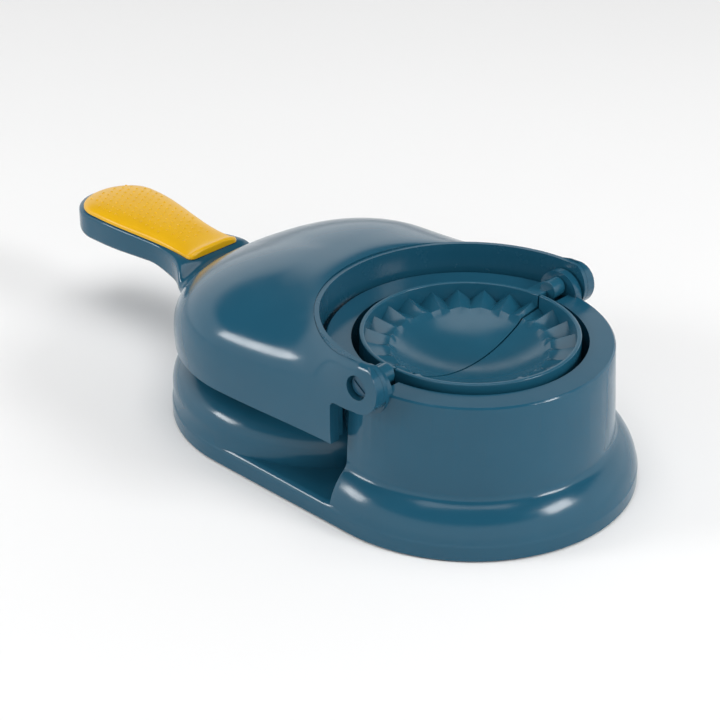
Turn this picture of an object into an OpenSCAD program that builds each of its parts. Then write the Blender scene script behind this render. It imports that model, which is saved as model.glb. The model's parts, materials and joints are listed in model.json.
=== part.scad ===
// Two-in-one hand press for filled dough pockets.
// A round tower carries a folding half-moon mould. A domed lever, hinged on the
// tower's ears, presses wrappers flat on the rear pedestal and, swung over to
// the front, folds the mould shut.
// +X runs from the handle to the tower, +Z is up, and the table is at Z = 0.
// The origin is under the middle of the overall length.

/* [Overall] */
// Radius of the base's round ends, half of the overall width
base_r = 60.9; // [58.4:0.1:64.6]
// Distance from the tower's axis to the axis of the pedestal
pedestal_gap = 67.2; // [64.6:0.5:73]
// Distance from the tower's axis to the tip of the handle
handle_reach = 205.8; // [198:0.1:229.3]
// Height of the hinge axis and of the mould's fold plane
hinge_z = 55.8; // [54.2:0.1:58.4]

/* [Base] */
// Wall of the base moulding
base_wall = 2.5; // [1.9:0.1:2.9]
// Height of the flange's outer ledge
ledge_h = 7.8; // [5.2:0.5:9.4]
// Rounding of the ledge's top edge
ledge_round = 2.6; // [1:0.5:3.1]
// Radius of the pedestal's wall
pedestal_r = 60.4; // [56.3:0.5:60.7]
// Height of the pedestal's top
pedestal_h = 22.9; // [18.8:0.2:24]
// Rounding of the pedestal's top edge
pedestal_round = 10.4; // [6.3:0.5:12.5]
// Thickness of the ribs under the base
rib_t = 1.9; // [1.3:0.1:2.7]
// Height of the feet below the flange's rim
foot_h = 0.6; // [0.3:0.1:1.6]
// Radius of a foot
foot_r = 6.3; // [4.2:0.5:7.3]

/* [Tower] */
// Radius of the tower at its top
tower_r = 50.4; // [49:0.1:51.1]
// How much wider the tower's wall is at its foot
tower_draft = 1.7; // [0.5:0.1:2]
// How far the hinge axis lies above the tower's top
hinge_rise = 2.3; // [1.7:0.1:3.1]
// Radius of the bore that holds the mould
bore_r = 41.4; // [40.6:0.1:42.7]
// Plane behind which the tower's outer wall ends, from the tower's axis
back_cut = 10; // [8.3:0.2:12.5]
// Height of the bore's floor
floor_z = 25; // [24:0.5:29.2]

/* [Hinge] */
// Radius of a hinge pin
pin_r = 2.7; // [2.1:0.1:3.1]
// Running clearance round a pin
pin_clear = 0.05; // [0.02:0.01:0.09]
// Half-width of a lug on the tower
lug_r = 8.4; // [7.3:0.1:9]
// Height of the lug's round centre below the hinge axis
lug_drop = 3.1; // [2.1:0.1:4.2]
// Distance from the middle plane to a lug's inner face
lug_in = 48.1; // [47.5:0.1:48.8]
// Thickness of a lug
lug_t = 3.2; // [2.5:0.1:3.2]

/* [Mould] */
// Outer radius of the mould's rim
mould_r = 38.6; // [37.5:0.1:39.6]
// Thickness of the mould's rim
rim_t = 1.7; // [1.3:0.1:2.3]
// Depth of the rim's wall
rim_h = 10; // [8.3:0.2:12.5]
// Radius of the bowl's curve
bowl_curve = 52.6; // [47.9:0.5:62.5]
// Depth of the bowl below the fold plane
bowl_depth = 14.4; // [12.5:0.2:15.6]
// Wall of the bowl
bowl_t = 2.1; // [1.5:0.1:2.7]
// Pleat teeth on each half
pleats = 12; // [8:1:16]
// Height of a pleat tooth over the shelf
pleat_h = 3.8; // [2.1:0.1:4.6]

/* [Lever] */
// Inner radius of the lever's round cut, round the tower's axis
cut_r = 52.4; // [52.3:0.05:52.7]
// Wall of the liner inside the cut
liner_t = 1.7; // [1.3:0.1:2.1]
// Wall of the dome
dome_wall = 2.3; // [1.7:0.1:2.7]
// Half-width of the dome at its widest
dome_r = 59.1; // [57.8:0.1:59.8]
// Height of the dome's crown over the pedestal's axis
dome_top = 64.7; // [63.6:0.2:68.8]
// Height of the dome's widest level
dome_mid = 34.4; // [33.4:0.5:37.5]
// Height of the dome's lower rim
dome_rim = 29.2; // [27.1:0.2:31.3]
// Height of the edge of the round cut
cut_top = 63.9; // [62.5:0.1:65.1]
// Half-width over the ears
ear_y = 57.1; // [56.3:0.1:57.8]
// Radius of an ear
ear_r = 9.4; // [8.8:0.1:10]
// Radius of the hole over a pin's end
ear_hole_r = 4.4; // [4:0.1:5]
// Plane of the side skirt's front edge, from the tower's axis
skirt_front = 12.1; // [10.9:0.1:14.6]

/* [Press] */
// Distance from the tower's axis to the press's axis
press_reach = 87.5; // [86.5:0.5:88.6]
// Radius of the round press disc under the lever
disc_r = 32.3; // [29.2:0.5:32.3]
// Thickness of the press disc
disc_t = 2.5; // [1.9:0.1:3.1]
// Radius of the dough plate on the pedestal
plate_r = 33.4; // [30.2:0.5:33.4]
// Thickness of the dough plate
plate_t = 3.1; // [2.5:0.1:3.5]
// Depth of the dough plate's seat in the pedestal
seat_depth = 1.3; // [0.8:0.1:1.5]
// Gap left for the wrapper between disc and plate
wrapper_gap = 1; // [0.6:0.1:1.5]

/* [Handle] */
// Half-width of the handle at its widest
handle_w = 16.5; // [14.6:0.2:18.8]
// Half-width of the handle at the grip's front edge
handle_front_w = 13.5; // [11.5:0.5:14.6]
// Half-width of the neck's flare where it meets the dome
flare_w = 27.1; // [20.8:0.5:31.3]
// Lowest height of the handle
handle_z = 31.3; // [29.2:0.5:33.4]
// Height of the joint between handle and grip at the grip's front
grip_z = 42; // [40.6:0.2:43.8]
// Distance from the tower's axis to the grip's front edge
grip_front = 131.8; // [130.3:0.5:135.5]
// Thickness of the grip at its middle
grip_t = 3.5; // [3.1:0.1:5.2]
// Wall of the handle
handle_wall = 2.3; // [1.9:0.1:2.7]

/* [Hidden] */

blue = "#2b5c72";
yellow = "#e0b21a";
steel = "#b9bcc0";
rubber = "#3a3a3c";
far = 400;
fine = 96;

// Places of the axes. The tower's axis is the local origin of every module below.
overall_l = handle_reach + base_r;
tower_x = overall_l / 2 - base_r;
pedestal_x = -pedestal_gap;
press_x = -press_reach;
tower_top = hinge_z - hinge_rise;

// Screws: shank, head, and the play of the holes round them.
screw_r = 1.5;
screw_fit = 0.02;
screw_play = 0.3;
head_r = 2.8;
head_h = 1.6;
collar_r = 5;
collar_t = 0.8;

// Base: shoulder and fillet of the tower, posts, bosses and feet.
shoulder_r = 18.7;
shoulder_z = 3.1;
fillet_r = 4.2;
fillet_bite = 0.02;
fillet_in = 0.5;
edge_r = 0.6;
wall_foot_r = tower_r + tower_draft;
shoulder_x = base_r - shoulder_r;
post_ring = 25;
post_angles = [-52, 0, 52];
post_r = 4;
post_z = hinge_z - 14;
post_bite = 3;
foot_in = 1.6;
foot_stem_r = 2;
foot_stem = 4;
foot_boss = 1;
foot_ring = base_r - 13.4;
foot_spots = [for (side = [-1, 1]) each [[foot_ring * cos(48), side * foot_ring * sin(48)],
    [pedestal_x - foot_ring * cos(53), side * foot_ring * sin(53)]]];
seam_x = 12.5;
seam_play = 0.05;
peg_ring = 20.8;
peg_angles = [60, 180, 300];
peg_r = 3;
peg_play = 0.15;
boss_wall = 3;
boss_z = 16.7;
plate_z = pedestal_h - seat_depth;
plate_top = plate_z + plate_t;

// Mould: fold plane, shelf, teeth and drive arms.
fold_gap = 0.1;
seam_gap = 0.15;
rim_top = hinge_z - fold_gap;
bowl_z = hinge_z - bowl_depth + bowl_curve;
shelf_r = 28.1;
shelf_z = hinge_z - 7;
shelf_t = 2;
arm_w = 6.7;
arm_h = 3.6;
boss_r = 4.2;
slot_gap = 0.4;
slot_z = hinge_z - boss_r - slot_gap;
arm_in = mould_r - 0.5;
arm_end = lug_in - 0.3;

// Lever: the round cut with its liner, the ears, the press disc and the grip.
cut_gap = 0.1;
shell_cut_r = cut_r + liner_t + cut_gap;
notch_z = hinge_z - ear_r - 0.4;
floor_gap = 1.5;
liner_z = dome_rim + floor_gap;
liner_floor_t = 2;
rear_power = 1.9;
side_power = 2.8;
crown_slope = 0.053;
blend_l = 3.6;
blend_z = 52.1;
rim_draft = 0.3;
disc_z = plate_top + wrapper_gap;
disc_post_r = 4;
pin_head_r = 3.6;
pin_head_t = 1;
liner_boss_r = 4;
liner_boss_ring = dome_r - 9.1;
liner_screw_l = dome_r / 4.5;
liner_boss_angles = [90, 140, 220, 270];
handle_l = handle_reach - grip_front;
tip_l = handle_w;
waist = 4;
flare_x = -158;
dome_join_x = -114.6;
grip_tip = 2.5;
grip_edge = 0.5;
grip_screw_x = [-184, -149];
grip_screw_seat = 36.5;
sleeve_r = 4.4;

module on_tower() translate([tower_x, 0, 0]) children();
module on_pedestal() translate([tower_x + pedestal_x, 0, 0]) children();
module on_press() translate([tower_x + press_x, 0, 0]) children();
module round_bar(r, h) cylinder(r = r, h = h, $fn = fine);

// A bar along Y through the hinge axis, between two distances from the middle plane.
module hinge_bar(r, from, to, side) translate([0, side * from, hinge_z])
    rotate([side * -90, 0, 0]) round_bar(r, to - from);

// Everything in front of a plane across the X axis.
module front_of(x) translate([x, -far / 2, -far / 2]) cube([far, far, far]);

// Everything above a plane.
module above(z) translate([-far / 2, -far / 2, z]) cube([far, far, far]);

// A screw with a cross-recess head, its head's seat at the origin and its shank along +Z.
module screw(length) difference() {
    union() {
        translate([0, 0, -head_h]) cylinder(r1 = head_r - 0.7, r2 = head_r, h = head_h, $fn = fine);
        round_bar(screw_r - screw_fit, length);
    }
    for (turn = [0, 90]) rotate([0, 0, turn])
        translate([-1.5, -0.35, -head_h - 1]) cube([3, 0.7, 1.9]);
}

// ---------------------------------------------------------------- base
// Section of the tower with its shoulder, right of the axis.
module tower_section() {
    fillet_x = wall_foot_r + fillet_r;
    fillet_z = shoulder_z + sqrt(pow(shoulder_r + fillet_r, 2) - pow(fillet_x - shoulder_x, 2));
    touch = (shoulder_r - fillet_in) / (shoulder_r + fillet_r);
    polygon([[0, foot_h], [wall_foot_r, foot_h], [wall_foot_r, fillet_z], [tower_r, tower_top - edge_r],
        [tower_r - edge_r, tower_top], [0, tower_top]]);
    intersection() {
        translate([shoulder_x, shoulder_z]) circle(r = shoulder_r, $fn = fine);
        translate([0, shoulder_z]) square([base_r, far]);
    }
    translate([0, foot_h]) square([base_r, shoulder_z - foot_h]);
    difference() {
        polygon([[wall_foot_r - 1, fillet_z], [fillet_x, fillet_z],
            [shoulder_x + (fillet_x - shoulder_x) * touch, shoulder_z + (fillet_z - shoulder_z) * touch],
            [wall_foot_r - 1, fillet_z - 2 * fillet_r]]);
        translate([fillet_x, fillet_z]) circle(r = fillet_r + fillet_bite, $fn = fine);
    }
}

// Section of a low block with a rounded top edge, right of its axis.
module rounded_section(r, z0, z1, edge) {
    translate([0, z0]) square([r, z1 - edge - z0]);
    translate([0, z0]) square([r - edge, z1 - z0]);
    translate([r - edge, z1 - edge]) circle(r = edge, $fn = fine);
}

// Section of the ledge's solid, or of the hollow under it.
module ledge_section(inset) rounded_section(base_r - inset, inset > 0 ? -1 : foot_h, ledge_h - inset, ledge_round);

// Section of the pedestal's solid, or of the hollow under it.
module pedestal_section(inset) rounded_section(pedestal_r - inset, inset > 0 ? -1 : foot_h,
    pedestal_h - inset, pedestal_round - inset);

// Stadium of the ledge, from the tower's axis to the pedestal's.
module ledge(inset) {
    rotate_extrude($fn = fine) ledge_section(inset);
    translate([pedestal_x, 0, 0]) rotate_extrude($fn = fine) ledge_section(inset);
    for (side = [0, 1]) mirror([0, side, 0]) translate([pedestal_x, 0, 0])
        rotate([90, 0, 90]) linear_extrude(height = pedestal_gap) ledge_section(inset);
}

// Rounded upright lug on the tower that carries a hinge pin.
module lug(side) translate([0, side > 0 ? lug_in + lug_t : -lug_in, 0])
    rotate([90, 0, 0]) linear_extrude(height = lug_t) {
        translate([0, hinge_z - lug_drop]) circle(r = lug_r, $fn = fine);
        translate([-lug_r, tower_top - base_wall]) square([2 * lug_r, hinge_rise - lug_drop + base_wall + 1]);
    }

// Thick part of the tower's top under a lug and under the slot beside it.
module lug_block(side) intersection() {
    translate([-lug_r - 1.5, side > 0 ? bore_r : -far - bore_r, slot_z - base_wall])
        cube([2 * lug_r + 3, far, tower_top - slot_z + base_wall]);
    round_bar(tower_r, far);
}

// Slot in the tower's top that a drive arm of the mould turns in.
module arm_slot(side) translate([-arm_w - 1, side > 0 ? bore_r - 1 : -lug_in, slot_z])
    cube([arm_w + 1 + boss_r + slot_gap, lug_in - bore_r + 1, far]);

module base_outer() {
    ledge(0);
    translate([pedestal_x, 0, 0]) rotate_extrude($fn = fine) pedestal_section(0);
    intersection() {
        rotate_extrude($fn = fine) tower_section();
        union() {
            front_of(-back_cut);
            above(tower_top - base_wall);
        }
    }
    translate([0, 0, foot_h]) round_bar(bore_r + base_wall, tower_top - foot_h);
    for (side = [-1, 1]) lug(side);
}

// Hollow of the tower between its outer wall and its bore's wall, right of the axis.
module tower_hollow_section() {
    polygon([[0, -1], [wall_foot_r - base_wall, -1], [wall_foot_r - base_wall, shoulder_z + shoulder_r - 2],
        [tower_r - base_wall, tower_top - base_wall], [bore_r + base_wall, tower_top - base_wall],
        [bore_r + base_wall, floor_z - base_wall], [0, floor_z - base_wall]]);
    intersection() {
        translate([shoulder_x, shoulder_z]) circle(r = shoulder_r - base_wall, $fn = fine);
        square([base_r, far]);
    }
}

module base_hollow() {
    ledge(base_wall);
    translate([pedestal_x, 0, 0]) rotate_extrude($fn = fine) pedestal_section(base_wall);
    translate([0, 0, -1]) round_bar(bore_r, floor_z - base_wall + 1);
    intersection() {
        rotate_extrude($fn = fine) tower_hollow_section();
        front_of(base_wall - back_cut);
    }
}

// What stays in the hollow: ribs, foot bosses, plate bosses and the lugs' blocks.
module base_inner() {
    for (turn = [0, 90]) translate([pedestal_x, 0, 0]) rotate([0, 0, turn])
        translate([-pedestal_r, -rib_t / 2, shoulder_z]) cube([2 * pedestal_r - 14, rib_t, pedestal_h]);
    for (spot = foot_spots) translate([spot[0], spot[1], foot_h + foot_in])
        round_bar(foot_r + foot_boss, spot[0] > 0 ? shoulder_r - foot_in : pedestal_h);
    for (a = peg_angles) translate([press_x, 0, boss_z]) rotate([0, 0, a])
        translate([peg_ring, 0, 0]) round_bar(peg_r + boss_wall, pedestal_h - boss_z);
    for (side = [-1, 1]) lug_block(side);
}

// Holes for the feet, the plate's pegs and the mould's screws.
module base_holes() {
    for (a = post_angles) rotate([0, 0, a]) translate([post_ring, 0, 0]) {
        round_bar(screw_r + screw_play, far);
        round_bar(head_r + screw_play, floor_z - base_wall + head_h);
    }
    for (spot = foot_spots) translate([spot[0], spot[1], 0])
        round_bar(foot_stem_r + screw_fit, foot_h + foot_in + foot_stem + screw_play);
    translate([press_x, 0, 0]) {
        translate([0, 0, plate_z]) round_bar(plate_r + peg_play, far);
        for (a = peg_angles) rotate([0, 0, a]) translate([peg_ring, 0, 0]) {
            round_bar(peg_r + peg_play, far);
            round_bar(peg_r + boss_wall, boss_z);
        }
    }
}

// The base in one piece, before it is parted at the seam.
module base_whole() difference() {
    union() {
        difference() {
            base_outer();
            difference() {
                base_hollow();
                base_inner();
            }
            translate([0, 0, floor_z]) round_bar(bore_r, far);
        }
        for (a = post_angles) rotate([0, 0, a]) translate([post_ring, 0, floor_z - 1])
            round_bar(post_r, post_z - floor_z + 1);
    }
    base_holes();
    for (side = [-1, 1]) arm_slot(side);
    hinge_bar(pin_r + pin_clear, -far / 2, far / 2, 1);
}

// What belongs to the tower's moulding: all in front of the seam, the bore's wall and the tower's top.
module tower_side(play) {
    front_of(-seam_x - play);
    translate([0, 0, -1]) round_bar(bore_r + base_wall + play, far);
    above(pedestal_h + 1);
}

module base_tower() color(blue) on_tower() intersection() {
    base_whole();
    tower_side(0);
}

module base_pedestal() color(blue) on_tower() difference() {
    base_whole();
    tower_side(seam_play);
}

module base_feet() color(rubber) on_tower() for (spot = foot_spots) translate([spot[0], spot[1], 0]) {
    round_bar(foot_r - edge_r, edge_r);
    translate([0, 0, edge_r]) round_bar(foot_r, foot_h + foot_in - edge_r);
    round_bar(foot_stem_r, foot_h + foot_in + foot_stem);
}

// Round plate that the dough is pressed on, with three pegs through the pedestal.
module dough_plate() color(blue) on_press() difference() {
    union() {
        translate([0, 0, plate_z]) rotate_extrude($fn = fine) rounded_section(plate_r, 0, plate_t, edge_r);
        for (a = peg_angles) rotate([0, 0, a]) translate([peg_ring, 0, boss_z + screw_fit])
            round_bar(peg_r, plate_z - boss_z + 1);
    }
    for (a = peg_angles) rotate([0, 0, a]) translate([peg_ring, 0, 0])
        round_bar(screw_r, plate_z + 1);
}

// Screws with broad collars that hold the dough plate from below.
module dough_plate_screws() color(steel) on_press() for (a = peg_angles) rotate([0, 0, a])
    translate([peg_ring, 0, boss_z - collar_t]) {
        screw(collar_t + plate_z - boss_z + 0.5);
        round_bar(collar_r, collar_t);
    }

// ---------------------------------------------------------------- mould
// Section of the mould: rim, shelf and bowl, right of the axis.
module mould_section() {
    translate([mould_r - rim_t, rim_top - rim_h]) square([rim_t, rim_h]);
    translate([shelf_r - 0.5, shelf_z - shelf_t]) square([mould_r - rim_t - shelf_r + 1, shelf_t]);
    intersection() {
        difference() {
            translate([0, bowl_z]) circle(r = bowl_curve + bowl_t, $fn = 2 * fine);
            translate([0, bowl_z]) circle(r = bowl_curve, $fn = 2 * fine);
        }
        square([shelf_r, hinge_z]);
    }
}

// One pleat tooth: a ridge from the rim down to the bowl, along +X.
module tooth() {
    high = shelf_z + pleat_h;
    low = shelf_z - 0.5;
    out_r = mould_r - rim_t + 0.3;
    half_in = shelf_r * sin(6);
    half_out = out_r * sin(6.6);
    polyhedron(points = [[out_r, half_out, low], [out_r, -half_out, low], [shelf_r, -half_in, low],
            [shelf_r, half_in, low], [out_r, 0, high], [shelf_r + 3.5, 0, high - 1.2]],
        faces = [[3, 2, 1, 0], [1, 4, 0], [5, 4, 1], [2, 5, 1], [3, 5, 2], [4, 5, 3], [0, 4, 3]]);
}

// Half of the mould in front of the axis, turned by a shift of its teeth.
module mould_half(shift) {
    intersection() {
        rotate_extrude($fn = fine) mould_section();
        front_of(seam_gap);
    }
    for (i = [0:pleats - 1]) rotate([0, 0, (i + 0.5) * 180 / pleats - 90 + shift]) tooth();
}

module mould_front_half() color(blue) on_tower() difference() {
    union() {
        mould_half(0);
        for (a = post_angles) rotate([0, 0, a]) translate([post_ring, 0, post_z]) intersection() {
            round_bar(post_r, bowl_depth);
            translate([-post_ring, 0, bowl_z - post_z]) sphere(r = far);
        }
    }
    for (a = post_angles) rotate([0, 0, a]) translate([post_ring, 0, 0]) round_bar(screw_r, post_z + post_bite + screw_play);
    translate([0, 0, bowl_z]) sphere(r = bowl_curve, $fn = 2 * fine);
}

// Screws that come up through the base's posts into the mould's front half.
module mould_screws() color(steel) on_tower() for (a = post_angles) rotate([0, 0, a])
    translate([post_ring, 0, floor_z - base_wall + head_h])
        screw(post_z + post_bite - (floor_z - base_wall + head_h));

// Arm that joins the folding half to its hinge boss.
module drive_arm(side) {
    translate([-arm_w, side > 0 ? arm_in : -arm_end, hinge_z - arm_h])
        cube([arm_w - seam_gap, arm_end - arm_in, arm_h - 2 * fold_gap]);
    hinge_bar(boss_r, bore_r + 0.4, arm_end, side);
}

module mould_rear_half() color(blue) on_tower() difference() {
    union() {
        rotate([0, 0, 180]) mould_half(0);
        for (side = [-1, 1]) drive_arm(side);
    }
    for (side = [-1, 1]) hinge_bar(pin_r + pin_clear, mould_r + 1, far, side);
}

// ---------------------------------------------------------------- hinge
// Pin with a flanged, slotted head that sits in an ear and reaches the mould's boss.
module hinge_pin(side) color(blue) on_tower() difference() {
    union() {
        hinge_bar(pin_r, bore_r + 0.7, shell_cut_r + pin_head_t / 2, side);
        hinge_bar(pin_head_r, shell_cut_r, shell_cut_r + pin_head_t, side);
    }
    translate([0, side * (shell_cut_r + pin_head_t), hinge_z]) rotate([0, 35, 0])
        cube([1.7 * pin_head_r, pin_head_t, 0.8], center = true);
}
module hinge_pin_near() hinge_pin(-1);
module hinge_pin_far() hinge_pin(1);

// ---------------------------------------------------------------- lever
function limit(t) = max(0, min(1, t));
function ease(t) = let (u = limit(t)) u * u * (3 - 2 * u);
function mix(a, b, t) = a + (b - a) * t;
function bezier(a, b, c, d, t) = a * pow(1 - t, 3) + 3 * b * t * pow(1 - t, 2) + 3 * c * t * t * (1 - t)
    + d * pow(t, 3);
function power(v, p) = sign(v) * pow(abs(v), 2 / p);

// Closed skin over rings of points, with flat caps at its ends.
module skin(rings, cap_end = true) {
    n = len(rings[0]);
    last = (len(rings) - 1) * n;
    polyhedron(points = [for (ring = rings) each ring], faces = concat(
        [for (k = [0:len(rings) - 2], i = [0:n - 1]) each let (a = k * n + i, b = k * n + (i + 1) % n)
            [[a, b + n, b], [a, a + n, b + n]]],
        [[for (i = [0:n - 1]) i]],
        cap_end ? [[for (i = [n - 1:-1:0]) last + i]] : []));
}

// Half-width of the dome and power of its cross-section, from the pedestal's axis to the ears.
function dome_w(x) = mix(dome_r, ear_y, ease((x - pedestal_x) / (-skirt_front - pedestal_x)));
function dome_power(x) = let (t = limit((x - pedestal_x) / pedestal_gap))
    side_power + 1.1 * t * t + 6 * pow(t, 8);

// The dome's height, led to the level of the round cut's edge near the cut.
function led(x, y, z, inset) = let (
    level = cut_top - inset,
    share = z > level ? 1 : ease((z - blend_z) / 8),
    d = max(0, norm([x, y]) - cut_r))
    z - share * (z - level) * exp(-d / blend_l);

// A station across the dome: its middle, its direction, its half-width and its power.
dome_sides = 14;
dome_ends = 14;
dome_arcs = 13;
function dome_stations(front, inset) = concat(
    [for (k = [0:dome_sides - 1]) let (x = mix(front, pedestal_x, k / dome_sides))
        [x, 0, 1, dome_w(x) - inset, dome_power(x)]],
    [for (k = [0:dome_ends]) let (t = 90 * k / dome_ends)
        [pedestal_x, -sin(t), cos(t), dome_r - inset, mix(side_power, rear_power, pow(sin(t), 2))]]);
function dome_point(s, a, side, inset) = let (
    spread = s[3] * power(sin(a), s[4]),
    x = s[0] + s[1] * spread,
    y = side * s[2] * spread,
    crown = dome_top - inset + crown_slope * (x - pedestal_x),
    z = dome_mid + (crown - dome_mid) * power(max(0, cos(a)), s[4]))
    [x, y, led(x, y, z, inset)];
function dome_rim_point(s, side, inset) = [s[0] + s[1] * (s[3] - rim_draft),
    side * s[2] * (s[3] - rim_draft), dome_rim - (inset > 0 ? 1 : 0)];
function dome_ring(s, inset) = concat([dome_rim_point(s, -1, inset)],
    [for (k = [dome_arcs:-1:1]) dome_point(s, 90 * k / dome_arcs, -1, inset)],
    [for (k = [0:dome_arcs]) dome_point(s, 90 * k / dome_arcs, 1, inset)],
    [dome_rim_point(s, 1, inset)]);
module dome_solid(front, inset) skin([for (s = dome_stations(front, inset)) dome_ring(s, inset)], false);

// Height of the joint between handle and grip, and half-width of the handle there.
function handle_u(x) = limit((-grip_front - x) / handle_l);
function joint_z(x) = bezier(grip_z, grip_z - 0.7, grip_z + 4.9, grip_z + 1.3, handle_u(x));
function handle_half(x, reach) = let (
    tip = limit(1 - (x + reach) / tip_l),
    body = bezier(handle_front_w, handle_front_w - waist, handle_w + 0.3, handle_w, limit(handle_u(x) / 0.7)))
    body * sqrt(1 - tip * tip);

// The handle flares out in front of the grip, where it runs into the dome as a low mound.
function body_half(x) = let (t = limit((x - flare_x) / (dome_join_x - 6 - flare_x)))
    handle_half(x, handle_reach) + (flare_w - handle_front_w) * pow(t, 2.2);
function body_low(x) = let (tip = limit(1 - (x + handle_reach) / tip_l))
    handle_z + 2.5 * pow(tip, 2) + (dome_rim - handle_z) * ease((x - flare_x) / 15);
function body_high(x) = joint_z(x) - 1.2 * ease((x + grip_front + 2) / 6);
function body_power(x) = mix(12, 2, ease((x + grip_front + 9) / 12));

ring_n = 36;
under_edge = 4.2;
function body_ring(x, inset) = let (
    w = max(0.3, body_half(x) - inset),
    low = body_low(x) + inset,
    mid = low + under_edge,
    high = body_high(x) + inset)
    [for (i = [0:ring_n - 1]) let (a = 360 * i / ring_n, up = sin(a) > 0)
        [x, w * power(cos(a), up ? body_power(x) : 2.6),
            mid + (up ? high - mid : under_edge) * power(sin(a), up ? body_power(x) : 2.6)]];
function body_stations(from, to) = concat([for (b = [6:12:90]) from + tip_l * (1 - cos(b))],
    [for (k = [1:16]) mix(from + tip_l, to, k / 16)]);
module handle_body(from, to, inset) skin([for (x = body_stations(from, to)) body_ring(x, inset)]);

// Outline of the lever's side seen along Y, with its ear and the notch under it.
module side_outline(low) {
    translate([-far, low]) square([far - skirt_front, cut_top - low]);
    translate([0, hinge_z]) circle(r = ear_r, $fn = fine);
    translate([-skirt_front - 1, notch_z]) square([skirt_front + 1, cut_top - notch_z]);
}

// What is cut off in front of the ears and under the notch.
module ear_trim() rotate([90, 0, 0]) linear_extrude(height = far, center = true) difference() {
    translate([-skirt_front, 0]) square([far, far]);
    translate([0, hinge_z]) circle(r = ear_r, $fn = fine);
    translate([-skirt_front - 1, notch_z]) square([skirt_front + 1, far]);
}

module liner_bosses(r, from, to) translate([pedestal_x, 0, from]) for (a = liner_boss_angles)
    rotate([0, 0, a]) translate([liner_boss_ring, 0, 0]) round_bar(r, to - from);

module lever_shell() color(blue) on_tower() difference() {
    resize([0, 0, 0]) difference() {
        union() {
            difference() {
                union() {
                    dome_solid(ear_r + 3, 0);
                    handle_body(-handle_reach, dome_join_x, 0);
                }
                dome_solid(-skirt_front - dome_wall, dome_wall);
            }
            intersection() {
                dome_solid(ear_r + 3, 0);
                liner_bosses(liner_boss_r, liner_z + liner_floor_t + cut_gap, far);
            }
        }
        difference() {
            handle_body(-handle_reach + handle_wall, flare_x + 8, handle_wall);
            for (x = grip_screw_x) translate([x, 0, 0]) round_bar(sleeve_r, far);
        }
        ear_trim();
    }
    round_bar(shell_cut_r, far);
    hinge_bar(ear_hole_r, -far / 2, far / 2, 1);
    liner_bosses(screw_r, 0, liner_z + liner_screw_l + screw_play);
    for (x = grip_screw_x) translate([x, 0, 0]) {
        round_bar(screw_r + screw_play, far);
        round_bar(head_r + screw_play, grip_screw_seat);
    }
}

// Liner that closes the dome from below and lines the round cut.
module lever_liner() color(blue) on_tower() difference() {
    union() {
        translate([0, 0, liner_z]) linear_extrude(height = liner_floor_t) {
            reach = dome_r - dome_wall - 2 * rim_draft;
            nose = -skirt_front - dome_wall - rim_draft;
            nose_w = ear_y - dome_wall - 2 * rim_draft;
            translate([pedestal_x, 0]) circle(r = reach, $fn = fine);
            polygon([[pedestal_x, -reach], [pedestal_x, reach], [nose, nose_w], [nose, -nose_w]]);
        }
        intersection() {
            translate([0, 0, liner_z]) round_bar(cut_r + liner_t, cut_top - liner_z);
            rotate([90, 0, 0]) linear_extrude(height = far, center = true) side_outline(liner_z);
        }
    }
    round_bar(cut_r, far);
    hinge_bar(pin_r + screw_fit, -far / 2, far / 2, 1);
    liner_bosses(screw_r + screw_play, 0, liner_z + far / 8);
    for (a = peg_angles) translate([press_x, 0, 0]) rotate([0, 0, a])
        translate([peg_ring, 0, 0]) round_bar(screw_r + screw_play, 2 * liner_z);
}

module liner_screws() color(steel) on_tower() translate([pedestal_x, 0, liner_z])
    for (a = liner_boss_angles) rotate([0, 0, a]) translate([liner_boss_ring, 0, 0]) screw(liner_screw_l);

// Disc that presses the wrapper, hung from the liner on three posts.
module press_disc() color(blue) on_press() difference() {
    union() {
        translate([0, 0, disc_z]) rotate_extrude($fn = fine) {
            square([disc_r - edge_r, disc_t]);
            translate([0, edge_r]) square([disc_r, disc_t - edge_r]);
            translate([disc_r - edge_r, edge_r]) circle(r = edge_r, $fn = fine);
        }
        for (a = peg_angles) rotate([0, 0, a]) translate([peg_ring, 0, disc_z + 1])
            round_bar(disc_post_r, liner_z - disc_z - 1);
    }
    for (a = peg_angles) rotate([0, 0, a]) translate([peg_ring, 0, disc_z + 1]) round_bar(screw_r, far);
}

// Screws that come down through the liner's floor into the press disc's posts.
module press_disc_screws() color(steel) on_press() for (a = peg_angles) rotate([0, 0, a])
    translate([peg_ring, 0, liner_z + liner_floor_t]) rotate([180, 0, 0])
        screw(liner_z + liner_floor_t - disc_z - 1.4);

// ---------------------------------------------------------------- grip
function grip_half(x) = max(0.3, handle_half(x, handle_reach - grip_tip) - grip_edge);
function grip_high(x) = let (u = handle_u(x)) mix(2.2, grip_t, ease(u / 0.35))
    + 0.8 * pow(limit(1 - u / 0.14), 2);
function grip_ring(x) = [for (i = [0:ring_n]) let (a = 180 * i / ring_n)
    [x, grip_half(x) * power(cos(a), 2.8), joint_z(x) + 0.02 + grip_high(x) * power(max(0, sin(a)), 2.8)]];
module hand_grip() color(yellow) on_tower() difference() {
    skin([for (x = concat([for (b = [6:12:90]) grip_tip - handle_reach + tip_l * (1 - cos(b))],
        [for (k = [1:16]) mix(tip_l + grip_tip - handle_reach, -grip_front, k / 16)])) grip_ring(x)]);
    for (x = grip_screw_x) translate([x, 0, 0]) round_bar(screw_r, joint_z(x) + 2.4);
}

module grip_screws() color(steel) on_tower() for (x = grip_screw_x)
    translate([x, 0, grip_screw_seat]) screw(joint_z(x) + 2 - grip_screw_seat);

base_tower();
base_pedestal();
base_feet();
dough_plate();
dough_plate_screws();
mould_front_half();
mould_screws();
mould_rear_half();
hinge_pin_near();
hinge_pin_far();
lever_shell();
lever_liner();
liner_screws();
press_disc();
press_disc_screws();
hand_grip();
grip_screws();
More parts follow.
